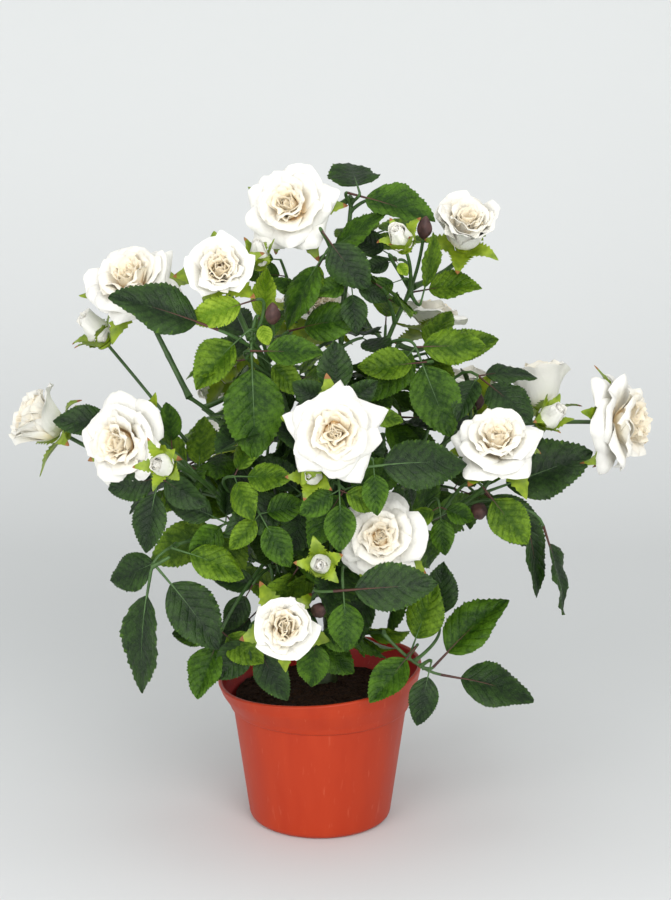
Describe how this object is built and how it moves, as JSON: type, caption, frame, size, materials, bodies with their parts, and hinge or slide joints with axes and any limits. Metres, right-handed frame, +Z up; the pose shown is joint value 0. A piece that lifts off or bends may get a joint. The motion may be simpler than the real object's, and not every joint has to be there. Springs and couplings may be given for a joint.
{
  "type": "artificial potted rose bush",
  "caption": "artificial bush rose with cream fabric blooms, white and brown buds and serrated green leaves, planted in a round terracotta-red plastic pot",
  "frame": {"origin": "centre of the pot's flat underside, on the surface that the pot stands on", "axes": "+Z up, the dressed side of the bush looks along -Y, +X to its right as seen from there"},
  "size_m": [0.3066, 0.2129, 0.3398],
  "materials": {
    "pot": "moulded terracotta-red polypropylene, satin, lightly scuffed",
    "soil": "dark brown crumbly potting filling over a weight",
    "stem": "moulded green plastic over wire, matte, with small knots",
    "leaf": "printed polyester cloth, pressed side veins, faint sheen",
    "petal": "cream polyester cloth, matte, warmer towards the middle, frayed rims"
  },
  "bodies": {
    "root": {"bough_back_high": "stem", "bough_back_left": "stem", "bough_back_low": "stem", "bough_back_right": "stem", "bough_front": "stem", "bough_front_low": "stem", "bough_left": "stem", "bough_left_high": "stem", "bough_low_front": "stem", "bough_low_left": "stem", "bough_right": "stem", "bough_right_back": "stem", "bough_right_front": "stem", "bough_top": "stem", "bough_upper_left": "stem", "bough_upper_right": "stem", "foliage_back_high": "leaf", "foliage_back_left": "leaf", "foliage_back_low": "leaf", "foliage_back_right": "leaf", "foliage_front": "leaf", "foliage_front_low": "leaf", "foliage_left": "leaf", "foliage_left_high": "leaf", "foliage_low_front": "leaf", "foliage_low_left": "leaf", "foliage_low_right": "leaf", "foliage_right": "leaf", "foliage_right_back": "leaf", "foliage_right_front": "leaf", "foliage_top": "leaf", "foliage_upper_left": "leaf", "foliage_upper_right": "leaf", "pot": "pot", "rose_01": "petal", "rose_02": "petal", "rose_03": "petal", "rose_04": "petal", "rose_05": "petal", "rose_06": "petal", "rose_07": "petal", "rose_08": "petal", "rose_09": "petal", "rose_10": "petal", "rose_11": "petal", "rose_12": "petal", "rose_13": "petal", "rose_14": "petal", "rose_15": "petal", "rose_16": "petal", "rose_17": "petal", "rose_18": "petal", "rose_19": "petal", "soil": "soil", "trunk": "stem"}
  },
  "joints": []
}
